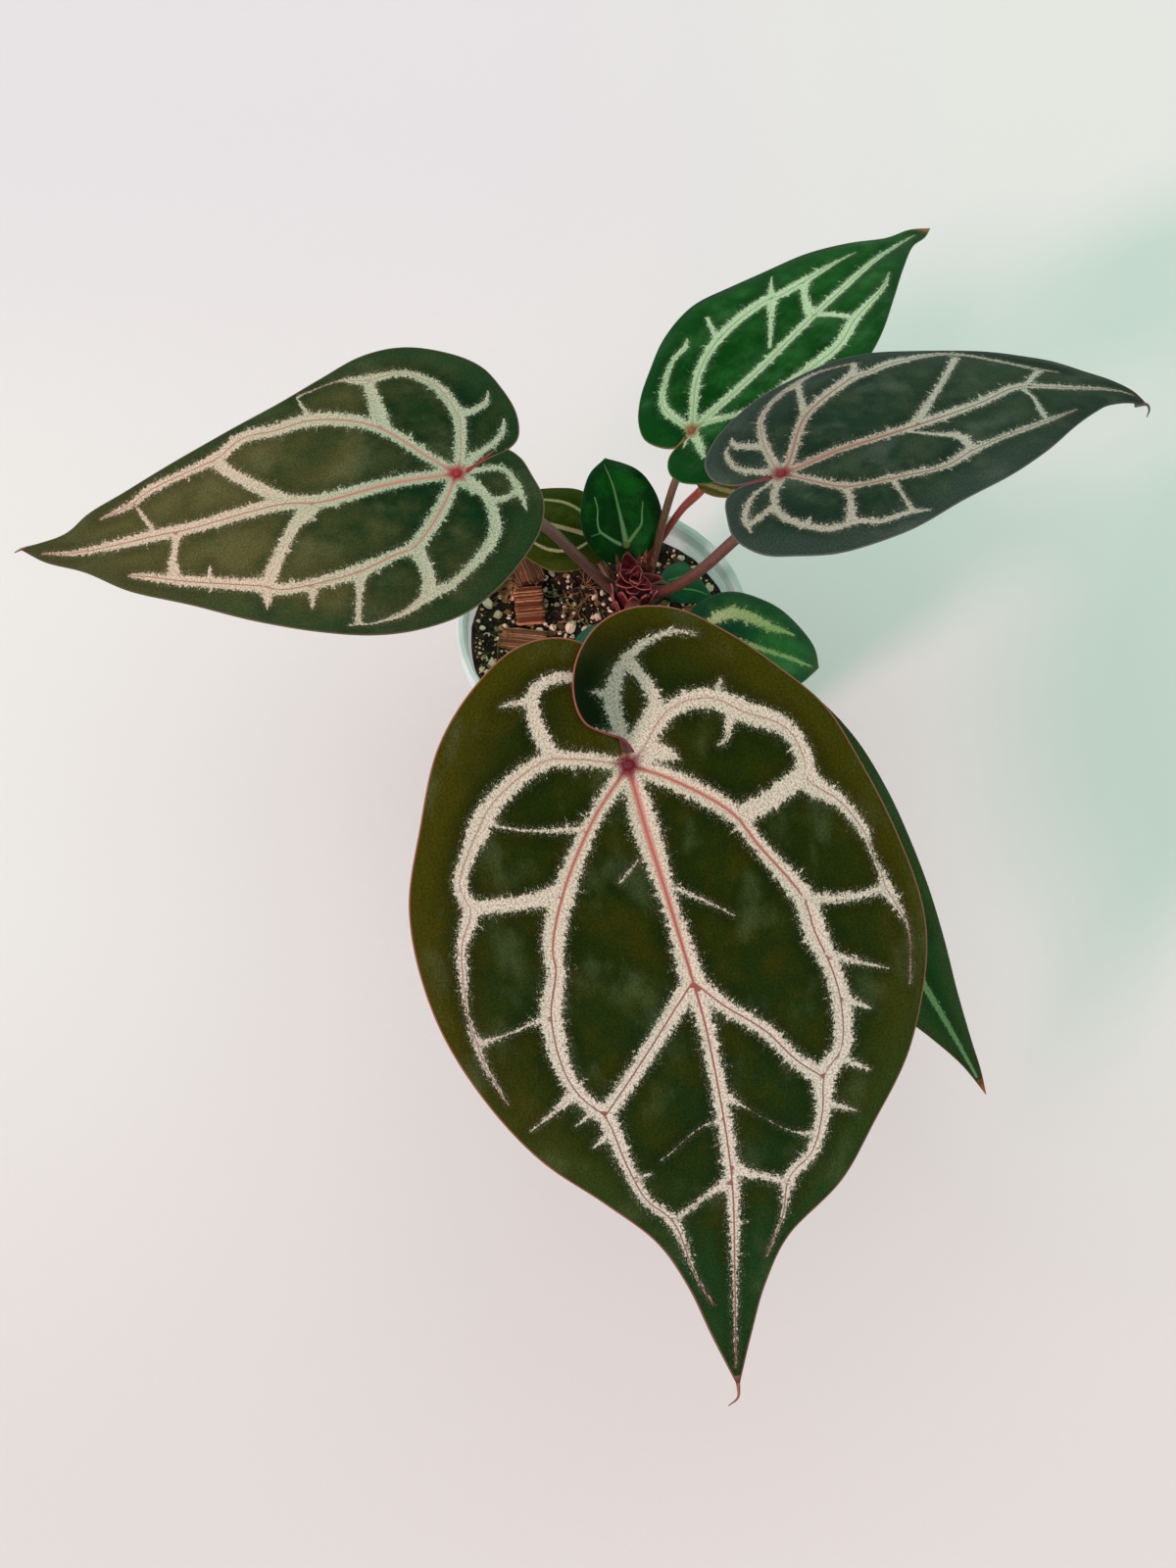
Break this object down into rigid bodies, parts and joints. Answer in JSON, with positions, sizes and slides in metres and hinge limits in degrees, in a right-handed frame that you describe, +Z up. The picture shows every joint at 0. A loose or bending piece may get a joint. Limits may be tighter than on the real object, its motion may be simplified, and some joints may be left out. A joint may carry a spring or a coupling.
{
  "type": "potted anthurium",
  "caption": "Young anthurium with dark, heart-shaped leaves and broad silvery veins on arching stalks, in a clear nursery pot of chunky mix.",
  "frame": {"origin": "middle of the pot's underside, on the surface that it stands on", "axes": "+Z up out of the pot, -Y towards the side that the largest leaf hangs over, +X to its right as seen from there"},
  "size_m": [0.3514, 0.3858, 0.2047],
  "materials": {
    "pot": "clear, faintly hazy",
    "soil": "rough mix of bark, coir and white grains",
    "coir": "fibrous",
    "bark": "rough",
    "crown": "satin, papery scales",
    "blade_front": "velvety leaf with pale veins",
    "stalk_front": "satin leaf stalk",
    "blade_left": "velvety leaf with pale veins",
    "stalk_left": "satin leaf stalk",
    "blade_right": "velvety leaf with pale veins",
    "stalk_right": "satin leaf stalk",
    "blade_back": "velvety leaf with pale veins",
    "stalk_back": "satin leaf stalk",
    "blade_centre": "velvety leaf with pale veins",
    "stalk_centre": "satin leaf stalk",
    "blade_olive_left": "velvety leaf with pale veins",
    "stalk_olive_left": "satin leaf stalk",
    "blade_small_right": "velvety leaf with pale veins",
    "stalk_small_right": "satin leaf stalk",
    "blade_side_right": "velvety leaf with pale veins",
    "stalk_side_right": "satin leaf stalk",
    "blade_long_right": "velvety leaf with pale veins",
    "stalk_long_right": "satin leaf stalk",
    "blade_under_right": "velvety leaf with pale veins",
    "stalk_under_right": "satin leaf stalk",
    "blade_small_front": "velvety leaf with pale veins",
    "stalk_small_front": "satin leaf stalk"
  },
  "bodies": {
    "root": {"pot": "pot", "soil": "soil", "coir_chip_1": "coir", "coir_chip_2": "coir", "bark_chip": "bark", "crown": "crown", "blade_front": "blade_front", "stalk_front": "stalk_front", "blade_left": "blade_left", "stalk_left": "stalk_left", "blade_right": "blade_right", "stalk_right": "stalk_right", "blade_back": "blade_back", "stalk_back": "stalk_back", "blade_centre": "blade_centre", "stalk_centre": "stalk_centre", "blade_olive_left": "blade_olive_left", "stalk_olive_left": "stalk_olive_left", "blade_small_right": "blade_small_right", "stalk_small_right": "stalk_small_right", "blade_side_right": "blade_side_right", "stalk_side_right": "stalk_side_right", "blade_long_right": "blade_long_right", "stalk_long_right": "stalk_long_right", "blade_under_right": "blade_under_right", "stalk_under_right": "stalk_under_right", "blade_small_front": "blade_small_front", "stalk_small_front": "stalk_small_front"}
  },
  "joints": []
}
